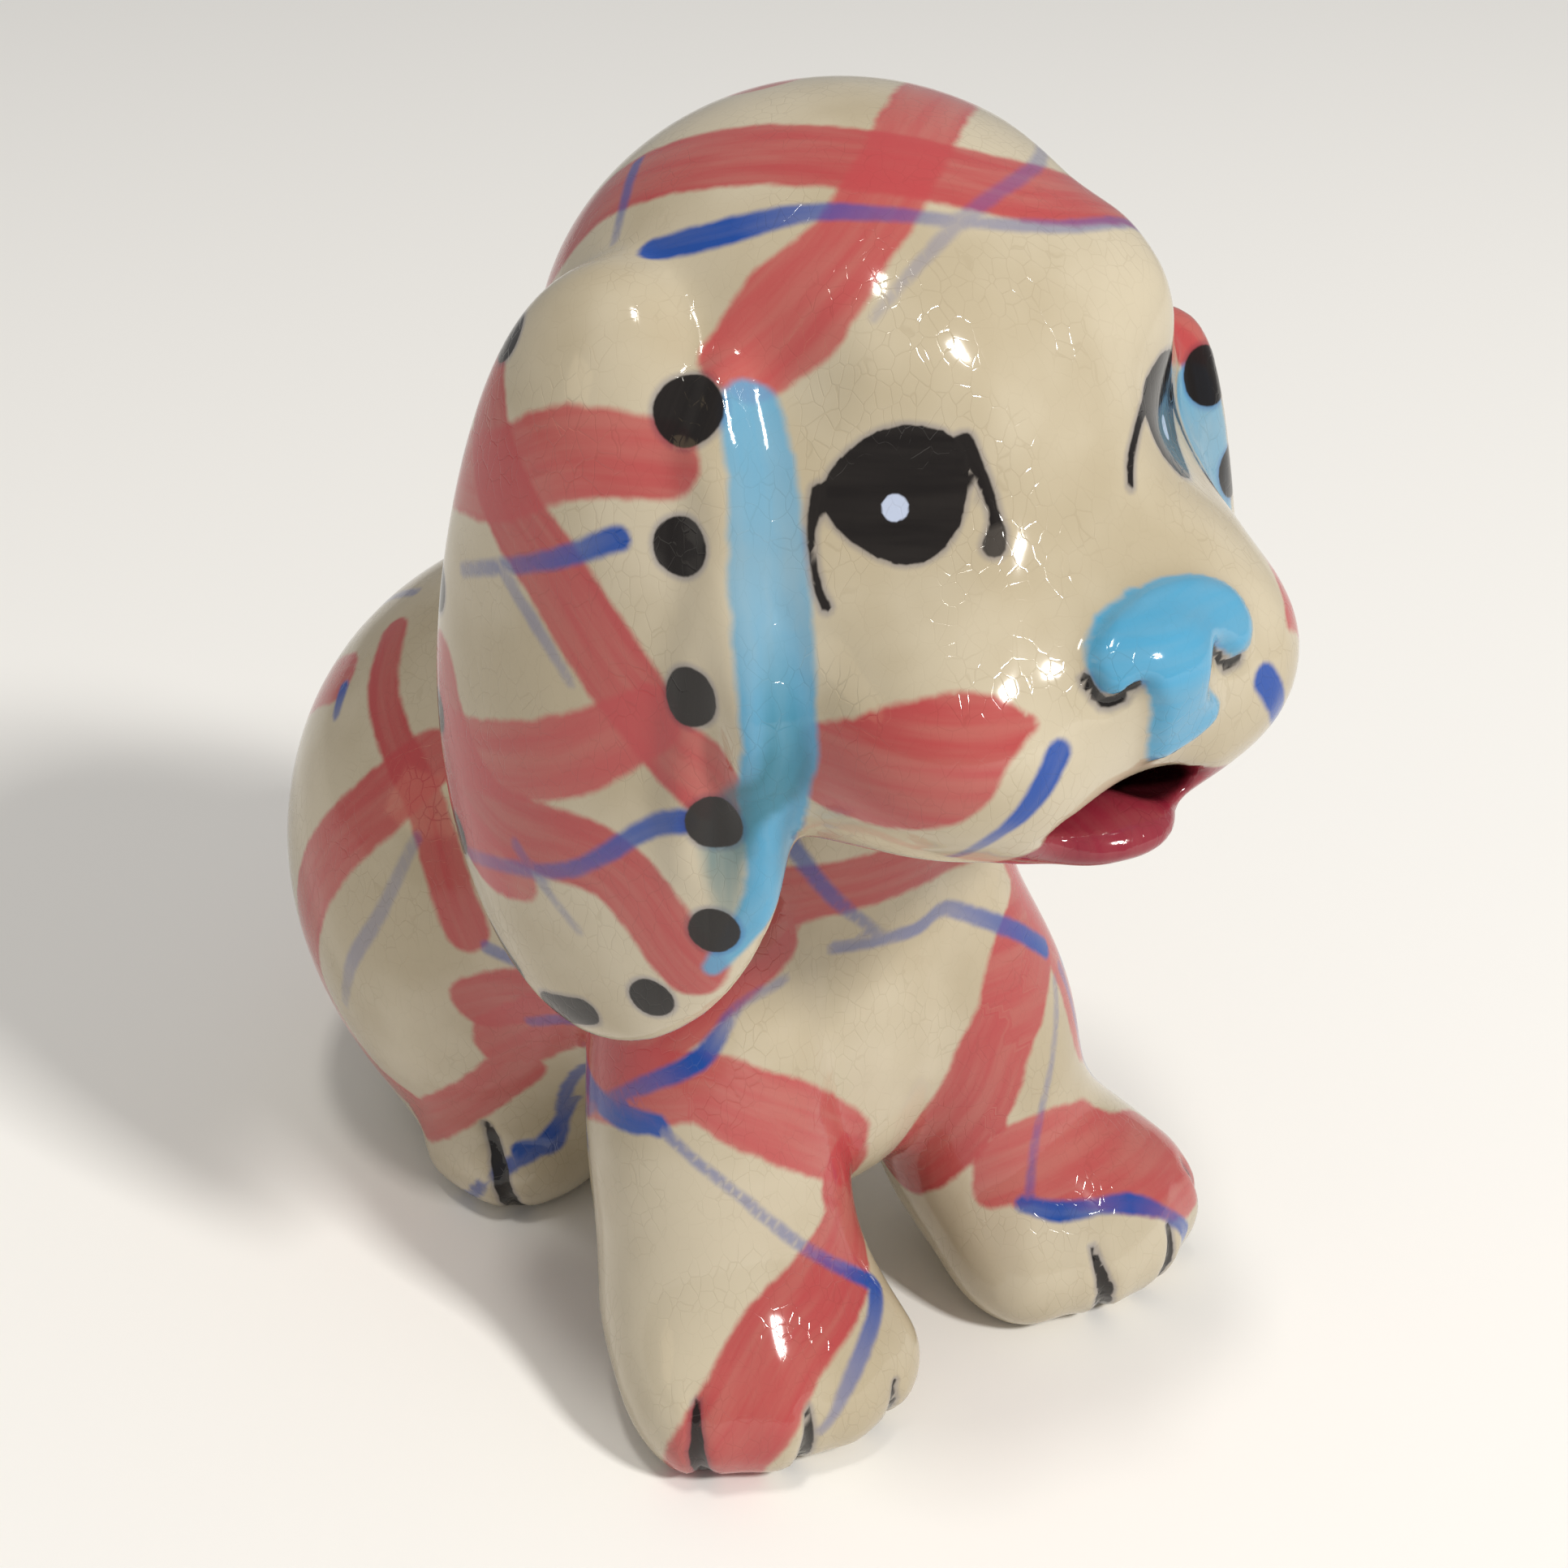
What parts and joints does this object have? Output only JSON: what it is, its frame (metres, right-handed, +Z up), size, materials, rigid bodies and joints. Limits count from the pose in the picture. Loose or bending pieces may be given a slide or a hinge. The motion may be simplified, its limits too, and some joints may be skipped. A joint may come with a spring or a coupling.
{
  "type": "puppy coin bank",
  "caption": "Sitting puppy money box in glazed earthenware, with hanging ears, a coin slot in the back and a soft plug in the base.",
  "frame": {"origin": "bottom centre of the bounding box, on the surface that the paws and the base stand on", "axes": "+Z up, -Y the way the puppy faces, -X its right side"},
  "size_m": [0.0886, 0.1554, 0.1535],
  "materials": {
    "glazed_earthenware": "gloss",
    "soft_plug": "matte"
  },
  "bodies": {
    "bank": {"head_shell": "glazed_earthenware", "body_shell": "glazed_earthenware", "right_foreleg": "glazed_earthenware", "left_foreleg": "glazed_earthenware", "right_ear": "glazed_earthenware", "left_ear": "glazed_earthenware"},
    "stopper": {"stopper": "soft_plug"}
  },
  "joints": [
    {"name": "stopper_pull", "type": "slide", "parent": "bank", "child": "stopper", "axis": [0, 0, -1], "range_m": [0, 0.03]}
  ]
}
